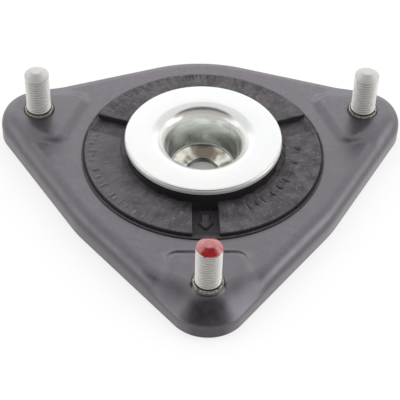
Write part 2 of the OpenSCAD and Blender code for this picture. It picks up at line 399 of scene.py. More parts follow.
# %% Rubber
rubber, shader, place = start_finish("rubber", 0.62, specular=0.45)
patches = ramp(rubber, grain(rubber, place, 170.0, 8.0, 0.75), 0.36, 0.68, 0.0, 1.0)
dust = two_tones(rubber, patches, (0.022, 0.018, 0.022), (0.118, 0.103, 0.116))
specks = ramp(rubber, grain(rubber, place, 700.0, 4.0), 0.55, 0.72, 0.0, 0.6)
dust = two_tones(rubber, specks, dust, (0.20, 0.185, 0.195))
# Low faces stay black, as painted shade in the slots and the hollow, except towards the rear where dust
# covers them.
high = ramp(rubber, along_axis(rubber, place, "Z"), 0.0107, 0.0126, 0.0, 1.0)
behind = ramp(rubber, along_axis(rubber, place, "Y"), -0.024, -0.006, 0.0, 0.75)
facing = rubber.node_tree.nodes.new("ShaderNodeNewGeometry")
lying = ramp(rubber, along_axis(rubber, facing.outputs["Normal"], "Z"), 0.25, 0.75, 0.1, 1.0)
dust_and_painted_shade = combine(rubber, combine(rubber, high, behind, "MAXIMUM"), lying, "MULTIPLY")
left_side = ramp(rubber, along_axis(rubber, place, "X"), -0.010, -0.036, 0.0, 0.45)
before_middle = ramp(rubber, along_axis(rubber, place, "Y"), 0.016, 0.006, 0.0, 1.0)
rubbed_dust = combine(rubber, left_side, before_middle, "MULTIPLY")
dust = two_tones(rubber, rubbed_dust, dust, (0.130, 0.113, 0.128))
crest = ramp(rubber, along_axis(rubber, place, "Z"), 0.0132, 0.0135, 0.0, 0.5)
dust = two_tones(rubber, crest, dust, (0.24, 0.22, 0.235))
black = (0.026, 0.021, 0.028)
rubber.node_tree.links.new(two_tones(rubber, dust_and_painted_shade, black, dust), shader.inputs["Base Color"])
dull = ramp(rubber, grain(rubber, place, 150.0), 0.3, 0.7, 0.52, 0.72)
rubber.node_tree.links.new(dull, shader.inputs["Roughness"])
relief(rubber, shader, grain(rubber, place, 520.0, 6.0, 0.65), 0.65, 0.0005)
print("rubber finish")

# %% [markdown]
# Dish and hub are plated steel. The zinc on the dish is a little cloudy, so part of its look is a plain
# grey and part is what it reflects. Its funnel is burnished by the drawing punch and its sheared edge is
# duller. A band round the lip and one patch of the funnel are painted pale and less metallic, as painted
# reflection of the bright room. The drawn hub is shinier, a touch yellow-green, and stained brown in
# blotches, and it is darkest in one spot at the rear of its bowl.


# %% Plating
def plated(name, roughness, metallic, waves):
    finish, shader, place = start_finish(name, roughness, metallic)
    gloss = ramp(finish, grain(finish, place, 210.0, 5.0), 0.3, 0.7, roughness - 0.02, roughness + 0.03)
    finish.node_tree.links.new(gloss, shader.inputs["Roughness"])
    relief(finish, shader, grain(finish, place, 260.0, 3.0), waves, 0.0002)
    tint = ramp(finish, grain(finish, place, 70.0, 3.0), 0.35, 0.65, 0.0, 1.0)
    return finish, shader, place, tint


dish_plating, shader, place, tint = plated("dish_plating", 0.17, 0.75, 0.03)
zinc = two_tones(dish_plating, tint, (0.520, 0.528, 0.532), (0.542, 0.542, 0.530))
inside = ramp(dish_plating, along_axis(dish_plating, place, "Z"), 0.0170, 0.0140, 0.0, 1.0)
drawn = dish_plating.node_tree.nodes.new("ShaderNodeVectorMath")
drawn.operation = "MULTIPLY"
drawn.inputs[1].default_value = (1.0, 1.0, 3.5)
dish_plating.node_tree.links.new(place, drawn.inputs[0])
drawn_grain = grain(dish_plating, drawn.outputs["Vector"], 100.0, 3.0)
streak = ramp(dish_plating, drawn_grain, 0.40, 0.60, 0.0, 1.0)
burnished = two_tones(dish_plating, streak, (0.60, 0.62, 0.575), (0.78, 0.81, 0.79))
zinc = two_tones(dish_plating, inside, zinc, burnished)
# A band round the lip and a patch in the funnel are painted pale and less metallic, as painted reflection.
lip_top = ramp(dish_plating, along_axis(dish_plating, place, "Z"), 0.0190, 0.0183, 0.0, 1.0)
lip_end = ramp(dish_plating, along_axis(dish_plating, place, "Z"), 0.0150, 0.0160, 0.0, 1.0)
lip_painted_reflection = combine(dish_plating, lip_top, lip_end, "MULTIPLY")
patch = dish_plating.node_tree.nodes.new("ShaderNodeVectorMath")
patch.operation = "DISTANCE"
patch.inputs[1].default_value = (-0.0095, 0.0105, 0.0095)
dish_plating.node_tree.links.new(place, patch.inputs[0])
patch_painted_reflection = ramp(dish_plating, patch.outputs["Value"], 0.0052, 0.0016, 0.0, 0.85)
painted_reflection = combine(dish_plating, lip_painted_reflection, patch_painted_reflection, "MAXIMUM")
zinc = two_tones(dish_plating, painted_reflection, zinc, (0.80, 0.79, 0.76))
dish_plating.node_tree.links.new(zinc, shader.inputs["Base Color"])
bare_metal = ramp(dish_plating, painted_reflection, 0.0, 1.0, 0.75, 0.25)
dish_plating.node_tree.links.new(bare_metal, shader.inputs["Metallic"])
sheared_edge, shader, place, tint = plated("sheared_edge", 0.42, 0.35, 0.06)
grey = two_tones(sheared_edge, tint, (0.60, 0.60, 0.595), (0.66, 0.66, 0.645))
sheared_edge.node_tree.links.new(grey, shader.inputs["Base Color"])
hub_plating, shader, place, tint = plated("hub_plating", 0.10, 1.0, 0.35)
zinc = two_tones(hub_plating, tint, (0.50, 0.52, 0.48), (0.55, 0.52, 0.44))
blotch = ramp(hub_plating, grain(hub_plating, place, 115.0, 2.0), 0.46, 0.60, 0.0, 0.9)
# The bowl is darkest brown in one spot at its rear.
from_dark_patch = hub_plating.node_tree.nodes.new("ShaderNodeVectorMath")
from_dark_patch.operation = "DISTANCE"
from_dark_patch.inputs[1].default_value = (0.0012, 0.0095, 0.0030)
hub_plating.node_tree.links.new(place, from_dark_patch.inputs[0])
rear_dark_patch = ramp(hub_plating, from_dark_patch.outputs["Value"], 0.0075, 0.0035, 0.0, 1.0)
stain = combine(hub_plating, blotch, rear_dark_patch, "MAXIMUM")
zinc = two_tones(hub_plating, stain, zinc, (0.11, 0.10, 0.075))
hub_plating.node_tree.links.new(zinc, shader.inputs["Base Color"])
print("plating:", dish_plating.name, sheared_edge.name, hub_plating.name)

# %% [markdown]
# The studs have a zinc flake coat: a matt, warm light grey with a fine sparkle. Its colour is painted
# darker in the roots of the thread, as painted shade, by a value that the mesh carries at each point,
# and painted darker on the tip as well, as painted shade. The front stud's tip has been dipped in red
# paint to mark it for the fitter.

# %% Zinc flake and paint
stud_coat, shader, place = start_finish("stud_coat", 0.45, metallic=0.3)
flake = ramp(stud_coat, grain(stud_coat, place, 1500.0, 3.0), 0.3, 0.7, 0.0, 1.0)
flake_colour = two_tones(stud_coat, flake, (0.66, 0.647, 0.617), (0.75, 0.741, 0.715))
root = stud_coat.node_tree.nodes.new("ShaderNodeAttribute")
root.attribute_name = "groove"
# The thread's roots are painted darker, as painted shade.
root_painted_shade = ramp(stud_coat, root.outputs["Fac"], 0.40, 1.0, 0.0, 0.65)
flake_colour = two_tones(stud_coat, root_painted_shade, flake_colour, (0.16, 0.15, 0.135))
# The tip is painted darker, as painted shade.
tip_painted_shade = ramp(stud_coat, along_axis(stud_coat, place, "Z"), 0.0307, 0.0313, 0.0, 0.55)
flake_colour = two_tones(stud_coat, tip_painted_shade, flake_colour, (0.40, 0.39, 0.365))
stud_coat.node_tree.links.new(flake_colour, shader.inputs["Base Color"])
stud_coat.node_tree.links.new(ramp(stud_coat, flake, 0.0, 1.0, 0.44, 0.58), shader.inputs["Roughness"])
relief(stud_coat, shader, grain(stud_coat, place, 2300.0, 2.0), 0.1, 0.0001)
tip_paint, shader, place = start_finish("tip_paint", 0.25, specular=0.9)
shader.inputs["Coat Weight"].default_value = 1.0
shader.inputs["Coat Roughness"].default_value = 0.10
drift = ramp(tip_paint, grain(tip_paint, place, 600.0, 3.0), 0.35, 0.65, 0.0, 1.0)
red = two_tones(tip_paint, drift, (0.30, 0.008, 0.012), (0.42, 0.014, 0.020))
tip_paint.node_tree.links.new(red, shader.inputs["Base Color"])
tip_paint.node_tree.links.new(ramp(tip_paint, drift, 0.0, 1.0, 0.20, 0.32), shader.inputs["Roughness"])
relief(tip_paint, shader, grain(tip_paint, place, 900.0, 2.0), 0.08, 0.0002)
print("stud finishes:", stud_coat.name, tip_paint.name)

# %% [markdown]
# The plate is one pressing. Its outline is like a band stretched round four discs: a large one in the
# middle and one round each stud. Along such a band every point has a clear outward direction, so the
# rounded rim is the same profile carried along the band. Points lie close together at the corners and
# wider apart between.

# %% Plate outline
STUD_R = 72.0
PLATE_R = 61.0
CORNER_R = 15.9
REAR = math.degrees(math.acos(0.9375))
STUD_ANGLES = {"stud_front": 270.0, "stud_left": 180.0 - REAR, "stud_right": 360.0 + REAR}
LEAN = math.degrees(math.acos((PLATE_R - CORNER_R) / STUD_R))
CORNER_STEPS = 52
MIDDLE_STEP = 1.4
AWAY_FROM_CORNER = [0.01 * k for k in range(1, 31)] + [0.30 + 0.035 * k for k in range(1, 20)]
TOWARDS_CORNER = [0.035 * k for k in range(1, 20)] + [0.70 + 0.01 * k for k in range(0, 30)]


def polar(radius, angle):
    turned_by = math.radians(angle)
    return Vector((radius * math.cos(turned_by), radius * math.sin(turned_by), 0.0))


def edge_points():
    """Points on the plate's outline with their outward directions, once round."""
    corners = [STUD_ANGLES["stud_left"], STUD_ANGLES["stud_front"], STUD_ANGLES["stud_right"]]
    rows = []
    for index, angle in enumerate(corners):
        centre = polar(STUD_R, angle)
        for step in range(CORNER_STEPS + 1):
            way = angle - LEAN + 2 * LEAN * step / CORNER_STEPS
            rows.append((centre + polar(CORNER_R, way), polar(1.0, way)))
        way = polar(1.0, angle + LEAN)
        from_corner = centre + CORNER_R * way
        to_middle = PLATE_R * way
        for part in AWAY_FROM_CORNER:
            rows.append((from_corner.lerp(to_middle, part), way))
        following = corners[(index + 1) % 3] + (360.0 if index == 2 else 0.0)
        start, stop = angle + LEAN, following - LEAN
        steps = max(4, int((stop - start) / MIDDLE_STEP))
        for step in range(steps + 1):
            way = start + (stop - start) * step / steps
            rows.append((polar(PLATE_R, way), polar(1.0, way)))
        way = polar(1.0, stop)
        from_middle = PLATE_R * way
        to_corner = polar(STUD_R, following) + CORNER_R * way
        for part in TOWARDS_CORNER:
            rows.append((from_middle.lerp(to_corner, part), way))
    return rows


outline = edge_points()
print("outline points:", len(outline))

# %% [markdown]
# Round each stud the sheet is raised into a pad, 1.5 mm high, that runs out over the rim. A die leaves
# soft edges, so the pad is a height that rises smoothly across its edge, and the slope gets much wider
# towards the rim, where the sheet is stretched.

# %% Raised pads
PLATE_Z = 11.1
SHEET = 2.5
BEND = 6.0
PAD_RISE = 1.5
PAD_IN = 56.0
PAD_HALF = 15.0
PAD_CORNER = 4.0
PAD_SLOPE = 4.2
WIDER_FROM = 62.0
WIDER_BY = 0.9


def smooth(value):
    value = min(1.0, max(0.0, value))
    return value * value * (3.0 - 2.0 * value)


def pad_height(x, y):
    """How far the sheet is raised at a place, by its distance from the edge of the nearest pad."""
    spot = Vector((x, y, 0.0))
    best = 0.0
    for angle in STUD_ANGLES.values():
        along = spot.dot(polar(1.0, angle))
        across = abs(spot.dot(polar(1.0, angle + 90.0)))
        back = PAD_IN + PAD_CORNER - along
        side = across - (PAD_HALF - PAD_CORNER)
        outside = math.hypot(max(back, 0.0), max(side, 0.0)) + min(max(back, side), 0.0) - PAD_CORNER
        slope = PAD_SLOPE + WIDER_BY * max(0.0, along - WIDER_FROM)
        best = max(best, smooth(0.5 - outside / slope))
    return PAD_RISE * best


print("pad at the front stud:", pad_height(0.0, -STUD_R), "mm")

# %% [markdown]
# The sheet is a grid. Its columns go round the outline, and its rows go from the opening over the top,
# round the bend, down the rim, and back up inside at one sheet thickness. Round the front corner the
# bend opens into a longer, softer curve, the crown. Holes for the studs are left out of the grid.


# %% Pressed sheet
OPENING_R = 47.0
RIM_Z = -0.4
ROUND = 0.3
CROWN = 12.0
CROWN_FALL = 6.3
CROWN_SLOPE = 0.87
CROWN_TURN = 1.0 / (CROWN * CROWN_SLOPE / CROWN_FALL - 1.0)
CROWN_EDGE = 0.12
CROWN_FROM = 64.0
CROWN_FADE = 19.0
BEND_STEPS = 16
TOP_STEPS = 58
UNDER_STEPS = 24
INNER_STEPS = 8
HOLE_R = 6.0


def sheet_row(column, inset, height, top):
    """A point of the sheet, by its distance in from the outline. Top is its share of the pad's height."""
    edge, way = column
    spot = edge - inset * way
    return (spot.x, spot.y, height + top * pad_height(spot.x, spot.y))


def crown_share(edge):
    """How much of the front corner's longer curve a point of the outline has."""
    return smooth((-edge.y - CROWN_FROM) / CROWN_FADE)


def crown_drop(part):
    """How far the longer curve has fallen, from its start at 0 to the outline at 1."""
    turned_in = (1.0 - (1.0 - part) ** (CROWN_TURN + 1.0)) / (CROWN_TURN + 1.0)
    return CROWN * CROWN_SLOPE * (part - turned_in)


def bend_profile(column):
    """Insets and falls round the bend and a little way down the rim, mixed with the crown's."""
    crown = crown_share(column[0])
    rows = []
    for k in range(BEND_STEPS + 3):
        part = min(1.0, k / BEND_STEPS)
        turn_angle = math.radians(90.0 * part)
        arc = (BEND - BEND * math.sin(turn_angle), BEND - BEND * math.cos(turn_angle))
        long = (CROWN_EDGE + (CROWN - CROWN_EDGE) * (1.0 - part), crown_drop(part))
        if k > BEND_STEPS:
            down = 0.4 * (k - BEND_STEPS)
            arc = (0.0, BEND + down)
            long = (0.05 * (BEND_STEPS + 2 - k), CROWN_FALL + down)
        rows.append([a + (b - a) * crown for a, b in zip(arc, long)])
    return rows


def crown_sink(column, inset):
    """How far the longer curve lies below the plain bend at a distance in from the outline."""
    part = min(1.0, max(0.0, (CROWN - inset) / (CROWN - CROWN_EDGE)))
    plain = BEND - math.sqrt(BEND ** 2 - max(0.0, BEND - inset) ** 2)
    return crown_share(column[0]) * max(0.0, crown_drop(part) - plain)


def flat_row(column, part, height):
    """A point on the flat, by its share of the way from the opening to the bend."""
    edge, way = column
    outer = edge - (BEND + (CROWN - BEND) * crown_share(edge)) * way
    inner = outer.normalized() * OPENING_R
    spot = inner.lerp(outer, part)
    return (spot.x, spot.y, height + pad_height(spot.x, spot.y))


def sheet_column(column):
    """All rows of one column: top, bend, rim, rounded edge, and back inside."""
    rows = [flat_row(column, k / TOP_STEPS, PLATE_Z) for k in range(TOP_STEPS)]
    for inset, fall in bend_profile(column):
        rows.append(sheet_row(column, inset, PLATE_Z - fall, max(0.0, 1.0 - fall / CROWN_FALL)))
    for height in (3.2, 1.8, RIM_Z + 0.6, RIM_Z + ROUND):
        rows.append(sheet_row(column, 0.0, height, 0.0))
    rows.append(sheet_row(column, 0.09, RIM_Z + 0.09, 0.0))
    rows.append(sheet_row(column, ROUND, RIM_Z, 0.0))
    rows.append(sheet_row(column, 1.2, RIM_Z, 0.0))
    rows.append(sheet_row(column, SHEET - ROUND, RIM_Z, 0.0))
    rows.append(sheet_row(column, SHEET, RIM_Z + ROUND, 0.0))
    for height in (RIM_Z + 0.8, 1.2, 2.0):
        rows.append(sheet_row(column, SHEET, height, 0.0))
    inside = BEND - SHEET
    for k in range(INNER_STEPS, -1, -1):
        bend = math.radians(90.0 * k / INNER_STEPS)
        inset = BEND - inside * math.sin(bend)
        height = PLATE_Z - BEND + inside * math.cos(bend) - crown_sink(column, inset)
        rows.append(sheet_row(column, inset, height, math.cos(bend)))
    for k in range(UNDER_STEPS - 1, -1, -1):
        rows.append(flat_row(column, k / UNDER_STEPS, PLATE_Z - SHEET))
    return rows


columns = [sheet_column(column) for column in outline]
depth = len(columns[0])
sheet_points = [point for column in columns for point in column]
stud_spots = [polar(STUD_R, angle) for angle in STUD_ANGLES.values()]
print("sheet grid:", len(columns), "by", depth)

# %% [markdown]
# A face that reaches into a stud's hole is left out, and the points round the gap are drawn onto a true
# circle.


# %% Stud holes
def near_stud(index):
    x, y, _ = sheet_points[index]
    return min(math.hypot(x - spot.x, y - spot.y) for spot in stud_spots) < HOLE_R


sheet_faces = []
hole_points = set()
for c in range(len(columns)):
    after = (c + 1) % len(columns)
    for r in range(depth):
        below = (r + 1) % depth
        near, far = c * depth, after * depth
        face = (near + r, near + below, far + below, far + r)
        if any(near_stud(index) for index in face):
            hole_points.update(face)
        else:
            sheet_faces.append(face)
for index in hole_points.intersection(index for face in sheet_faces for index in face):
    x, y, z = sheet_points[index]
    spot = min(stud_spots, key=lambda stud: math.hypot(x - stud.x, y - stud.y))
    edge = spot + HOLE_R * (Vector((x, y, 0.0)) - spot).normalized()
    sheet_points[index] = (edge.x, edge.y, z)
print("faces left:", len(sheet_faces))

# %% [markdown]
# Turned and drawn parts share one helper: a half section, with its corners rounded, carried round an
# upright axis. Rounded corners matter, because a real edge is never sharp and its thin highlight is
# what shows it.


# %% Turning helper
def rounded(section, radii, steps):
    """A closed section with an arc for each corner, and a point beside it to hold the flats flat."""
    out = []
    count = len(section)
    for k in range(count):
        radius = radii[k]
        corner = Vector(section[k])
        before = Vector(section[k - 1]) - corner
        after = Vector(section[(k + 1) % count]) - corner
        if radius <= 0.0:
            out.append(tuple(corner))
            continue
        half = before.angle(after) / 2
        reach = radius / math.tan(half)
        back = before.normalized()
        ahead = after.normalized()
        first = corner + back * reach
        last = corner + ahead * reach
        middle = corner + (back + ahead).normalized() * (radius / math.sin(half))
        out.append(tuple(first + back * min(0.5 * radius, 0.3 * (before.length - reach))))
        a = first - middle
        b = last - middle
        span = a.angle(b)
        for step in range(steps + 1):
            t = step / steps
            way = (math.sin((1 - t) * span) * a + math.sin(t * span) * b) / math.sin(span)
            out.append(tuple(middle + way))
        out.append(tuple(last + ahead * min(0.5 * radius, 0.3 * (after.length - reach))))
    return out


def turned(section, steps, centre=(0.0, 0.0), start=0):
    """Points and outward faces of a closed section of radii and heights, carried once round."""
    points = []
    faces = []
    rows = len(section)
    area = sum(a[0] * b[1] - b[0] * a[1] for a, b in zip(section, section[1:] + section[:1]))
    if area > 0.0:
        section = section[::-1]
    for s in range(steps):
        angle = 2 * math.pi * s / steps
        for radius, height in section:
            x = centre[0] + radius * math.cos(angle)
            y = centre[1] + radius * math.sin(angle)
            points.append((x, y, height))
        near = start + s * rows
        far = start + (s + 1) % steps * rows
        for r in range(rows):
            below = (r + 1) % rows
            faces.append((near + r, near + below, far + below, far + r))
    return points, faces


print("turning helper ready")

# %% [markdown]
# The collar round each stud is what the piercing punch leaves: a thin lip pushed up out of the sheet,
# with a narrow gap inside it, dark because the stud's neck there is painted dark as painted shade. It
# is turned as a ring that stands in the hole.

# %% Collars and plate
COLLAR_TOP = 13.4
COLLAR_STEPS = 64
collar_corners = [(5.1, 9.4), (6.6, 9.4), (7.4, 11.9), (6.0, 12.35), (5.75, COLLAR_TOP), (5.1, COLLAR_TOP)]
collar = rounded(collar_corners, [0.0, 0.0, 0.0, 0.1, 0.18, 0.12], 4)
for spot in stud_spots:
    ring_points, ring_faces = turned(collar, COLLAR_STEPS, (spot.x, spot.y), len(sheet_points))
    sheet_points += ring_points
    sheet_faces += ring_faces
pressed_plate = make_piece(
    "pressed_plate", sheet_points, sheet_faces, [plate_coat, rubbed_edge_and_highlight], "upper_plate")

# %% [markdown]
# Inside the collars a wall joins the upper and the lower edge of each hole, so that the sheet is closed.
# Then the collars' tops and outer walls get the rubbed finish, whose light tone is also a painted
# highlight. Their inner walls stay dark.

# %% Hole walls and rubbed lips
form = bmesh.new()
form.from_mesh(pressed_plate.data)
for spot in stud_spots:
    open_edges = [edge for edge in form.edges if edge.is_boundary]
    rim = [edge for edge in open_edges if (edge.verts[0].co.xy / MM - spot.xy).length < HOLE_R + 1.0]
    bmesh.ops.bridge_loops(form, edges=rim)
form.to_mesh(pressed_plate.data)
form.free()
rubbed = 0
rubbed_from = (COLLAR_TOP - 0.3) * MM
plate_points = pressed_plate.data.vertices
for face in pressed_plate.data.polygons:
    if max(plate_points[k].co.z for k in face.vertices) < rubbed_from:
        continue
    middle = face.center.xy / MM
    from_stud = min((middle - spot.xy for spot in stud_spots), key=lambda gap: gap.length)
    if face.normal.xy.dot(from_stud) > -0.1:
        face.material_index = 1
        rubbed += 1
print("rubbed faces:", rubbed)

# %% [markdown]
# The dish is pressed from one disc: a flat flange, a rounded lip and a funnel that stands on the hub.
# The section follows the solid's own sizes, with the sheared outer edge slightly rounded.

# %% Plated dish
LIP_R = 21.46
LIP_Z = 14.0
LIP_BEND = 6.0
LIP_TURN = 75.0
DISH_T = 2.4
DISH_R = 31.6
DISH_TOP = 20.0
DISH_UNDER = 17.6
FLAT_FROM = 27.0


def lip_point(radius, share):
    """A point on a curve round the lip's centre, from the flange at 0 to the funnel at 1."""
    angle = math.radians(90.0 + LIP_TURN * share)
    return (LIP_R + radius * math.cos(angle), LIP_Z + radius * math.sin(angle))


flange = [(FLAT_FROM, DISH_UNDER), (DISH_R, DISH_UNDER), (DISH_R, DISH_TOP), (FLAT_FROM, DISH_TOP)]
dish = rounded(flange, [0.0, 0.4, 0.9, 0.0], 6)[1:]
dish += [lip_point(LIP_BEND, k / 16) for k in range(17)]
dish += [(15.0, 13.08), (13.9, 8.98), (12.85, 5.06), (12.7, 4.5)]
dish += [(15.18, 4.5), (15.9, 7.16), (17.0, 11.27)]
dish += [lip_point(LIP_BEND - DISH_T, k / 8) for k in range(8, -1, -1)]
dish.append((FLAT_FROM, DISH_UNDER))
dish_points, dish_faces = turned(dish, 256)
plated_dish = make_piece(
    "plated_dish", dish_points, dish_faces, [dish_plating, sheared_edge], "stop_dish")
for face in plated_dish.data.polygons:
    corners = [Vector(dish_points[k]) for k in face.vertices]
    at_edge = min(math.hypot(c.x, c.y) for c in corners) > DISH_R - 0.5
    if at_edge and min(c.z for c in corners) < DISH_TOP - 0.3:
        face.material_index = 1

# %% [markdown]
# The hub is a drawn cup: a round bowl with the rod's hole, and a flange that the rubber holds. A fine
# weld bead closes the joint where the funnel stands on it.

# %% Rod hub
ROD_R = 6.1
HUB_T = 2.0
BOWL_DEPTH = 2.5
BOWL_OUT = 12.9
HUB_SEAT = HUB_T + BOWL_DEPTH
HUB_UNDER = HUB_SEAT - HUB_T
HUB_FLANGE_R = 29.0
BOWL_Z = (BOWL_OUT ** 2 - ROD_R ** 2 + HUB_SEAT ** 2 - HUB_T ** 2) / (2 * BOWL_DEPTH)
BOWL_R = math.hypot(ROD_R, BOWL_Z - HUB_T)
BEAD_R = 0.36
HUB_STEPS = 192
hub = [(ROD_R, 0.35), (ROD_R, 1.7), (6.25, 1.98)]
for k in range(1, 13):
    radius = ROD_R + (BOWL_OUT - ROD_R) * k / 12
    hub.append((radius, BOWL_Z - math.sqrt(BOWL_R ** 2 - radius ** 2)))
hub += [(HUB_FLANGE_R, HUB_SEAT), (HUB_FLANGE_R, HUB_UNDER)]
for k in range(11, -1, -1):
    radius = 6.5 + (13.4 - 6.5) * k / 11
    hub.append((radius, max(0.0, BOWL_Z - math.sqrt((BOWL_R + HUB_T) ** 2 - radius ** 2))))
hub_points, hub_faces = turned(hub, HUB_STEPS)
bead = []
for degrees in range(0, 360, 36):
    angle = math.radians(degrees)
    bead.append((12.62 + BEAD_R * math.cos(angle), 4.6 + BEAD_R * math.sin(angle)))
bead_points, bead_faces = turned(bead, HUB_STEPS, (0.0, 0.0), len(hub_points))
rod_hub = make_piece(
    "rod_hub", hub_points + bead_points, hub_faces + bead_faces, [hub_plating, sheared_edge],
    "inner_hub")
for face in rod_hub.data.polygons:
    if face.vertices[0] >= len(hub_points):
        face.material_index = 1

# %% [markdown]
# The rubber ring is one moulding. Its body is turned: the bore, the low floor under the dish, the floor
# of the slots, and the thin lip that laps over the plate. Three raised sectors stand on it, with a slot
# between them in line with each stud. Each row below is a radius, a height and the corner's rounding.

# %% Rubber body
BORE_R = 17.05
body_under = [(BORE_R, 0.7, 0.3), (33.0, 0.7, 0.3), (33.0, 2.2, 0.0), (48.0, 2.2, 0.0), (48.7, 2.5, 0.0)]
body_wall = [(49.0, 3.2, 0.0), (49.0, 8.6, 0.0), (OPENING_R, 8.6, 0.0), (OPENING_R, PLATE_Z, 0.0)]
body_lip = [(49.2, PLATE_Z, 0.1), (49.2, 11.55, 0.15), (48.8, 11.85, 0.25)]
body_lip += [(48.2, 11.4, 0.3), (47.2, 11.3, 0.4)]
body_floor = [(45.0, 10.4, 0.6), (32.6, 10.4, 0.3), (32.6, 9.6, 0.2), (BORE_R, 9.6, 0.5)]
hub_groove = [(BORE_R, HUB_SEAT, 0.0), (HUB_FLANGE_R, HUB_SEAT, 0.0)]
hub_groove += [(HUB_FLANGE_R, HUB_UNDER, 0.0), (BORE_R, HUB_UNDER, 0.0)]
body = body_under + body_wall + body_lip + body_floor + hub_groove
body_section = rounded([row[:2] for row in body], [row[2] for row in body], 4)
rubber_points, rubber_faces = turned(body_section, 240)
print("rubber body:", len(rubber_points), "points")

# %% [markdown]
# The mould marks are plain ticks along each sector, sunk or raised. A tick has an angle, an inner and
# an outer radius, half its width in degrees and a height. A fine groove runs through those of the right
# sector.

# %% Mould marks
REAR_TICKS = (143, 138.4, 133.2, 127.8, 122.8, 118.4, 113.6, 108.2, 103, 98, 96,
              94, 92, 90, 86, 82, 71, 66, 60, 52, 44)
LEFT_TICKS = (169, 172, 175.6, 181, 184.6, 188, 195.6, 201, 204.6, 208, 216,
              219, 223, 227, 233, 238, 242.4)
RIGHT_TICKS = (297, 302.4, 307.6, 315.8, 322.4, 330, 338, 347)
PLAIN_BLOCK = (359.5, 37.4, 39.4, 1.3, -0.5)
GROOVE_FROM = 298.0
GROOVE_TO = 348.0
GROOVE_R = 37.2


def left_tick(k, angle):
    """The raised ticks vary a little in length, width and height, as hand-cut marks in a mould do."""
    return (angle, 43.2 + 0.5 * (k % 3), 46.4, 0.3 + 0.1 * (k % 4), 0.28 + 0.05 * (k % 3))


TICKS = {
    "rear": [(angle, 43.2, 46.4, 0.45, -0.32) for angle in REAR_TICKS],
    "left": [left_tick(k, angle) for k, angle in enumerate(LEFT_TICKS)],
    "right": [(angle, 35.6, 38.8, 0.36, -0.5) for angle in RIGHT_TICKS] + [PLAIN_BLOCK],
}


def mark_height(name, radius, angle):
    """Height of a sector's marks at a place."""
    total = 0.0
    for where, inner, outer, half, rise in TICKS[name]:
        off = abs((angle - where + 180.0) % 360.0 - 180.0) / half
        along = min(radius - inner, outer - radius)
        total += rise * smooth((1.3 - off) / 0.6) * smooth(along / 0.3 + 0.5)
    if name == "right":
        inside = min(angle - GROOVE_FROM, GROOVE_TO - angle)
        total -= 0.4 * smooth(inside + 0.5) * smooth(1.5 - abs(radius - GROOVE_R) / 0.3)
    return total


print("ticks:", {name: len(ticks) for name, ticks in TICKS.items()})

# %% [markdown]
# A sector is again a grid: columns run across from slot to slot, rows run from a low step under the
# dish's edge over a small ridge and the top to the outer wall. The slot walls are parallel, so each
# column's angle changes a little with the radius. The grid gets extra columns at the walls and at each
# tick.

# %% Sector grid
SECTOR_IN = 33.0
SECTOR_OUT = 47.8
SECTOR_TOP = 13.1
SECTOR_MIDDLE = 41.0
SLOT_HALF = 5.2
TOP_ROUND = 0.45
LEFT = STUD_ANGLES["stud_left"]
FRONT = STUD_ANGLES["stud_front"]
RIGHT = STUD_ANGLES["stud_right"]


def wall_angle(radius):
    return math.degrees(math.asin(SLOT_HALF / radius))


def sector_columns(name, low, high):
    """Shares across the sector, close together at both walls and at each tick."""
    span = math.radians(high - low) * SECTOR_MIDDLE - 2 * SLOT_HALF
    shares = {0.0, 1.0}
    for gap in (0.02, 0.07, 0.15, 0.27, 0.4, 0.6, 1.0):
        shares.add(gap / span)
        shares.add(1.0 - gap / span)
    count = int(span / 1.0)
    for k in range(2, count - 1):
        shares.add(k / count)
    first = low + wall_angle(SECTOR_MIDDLE)
    last = high - wall_angle(SECTOR_MIDDLE)
    for where, _, _, half, _ in TICKS[name]:
        for step in (-1.35, -0.95, -0.6, 0.0, 0.6, 0.95, 1.35):
            angle = where + step * half
            while angle < low:
                angle += 360.0
            shares.add((angle - first) / (last - first))
    return sorted(share for share in shares if 0.0 <= share <= 1.0)


def sector_section():
    """Radii and heights from the low inner step over the ridge and the top to the outer wall's foot."""
    rows = [(30.6, 9.3), (30.6, 10.5), (30.6, 11.6), (30.65, 12.1), (30.85, 12.5), (31.2, 12.7)]
    rows += [(31.8, 12.78), (32.4, 12.82), (32.8, 12.88), (SECTOR_IN, 13.0), (33.2, 13.14)]
    rows += [(33.4, 13.2), (33.7, 13.18), (34.0, 13.12)]
    radius = SECTOR_IN + 1.3
    while radius < SECTOR_OUT - 0.8:
        rows.append((radius, SECTOR_TOP))
        radius += 0.36
    for k in range(6):
        a = math.radians(90.0 * k / 5)
        rows.append((SECTOR_OUT - 0.5 + 0.5 * math.sin(a), SECTOR_TOP - 0.5 + 0.5 * math.cos(a)))
    return rows + [(SECTOR_OUT, 12.3), (SECTOR_OUT, 11.4), (45.2, 10.2)]


section = sector_section()
print("rows of a sector:", len(section))

# %% [markdown]
# A moulded face is never quite flat, so a gentle noise moves the tops by a few hundredths of a
# millimetre and makes the inner edge ragged. The tops round off towards the slots.


# %% Rubber sectors
def sector_point(name, low, high, share, radius, height):
    """One point of a sector, with its rounded edge, its waves and its marks."""
    first = low + wall_angle(radius)
    last = high - wall_angle(radius)
    angle = first + (last - first) * share
    from_wall = min(share, 1.0 - share) * math.radians(last - first) * radius
    edge = max(0.0, TOP_ROUND - from_wall)
    drop = TOP_ROUND - math.sqrt(max(0.0, TOP_ROUND ** 2 - edge ** 2))
    spot = polar(radius, angle)
    wave = noise.noise(spot * 0.35)
    fine = noise.noise(spot * 1.3 + Vector((0.0, 0.0, 7.0)))
    if radius < SECTOR_IN + 1.4:
        ragged = 0.8 * wave + 0.5 * fine
        spot = polar(radius + ragged * min(1.0, 1.0 - (radius - SECTOR_IN) / 1.4), angle)
    if height > 11.7:
        height = min(height, SECTOR_TOP - drop) + 0.05 * wave + 0.03 * fine
        height += mark_height(name, radius, angle)
    return (spot.x, spot.y, height)


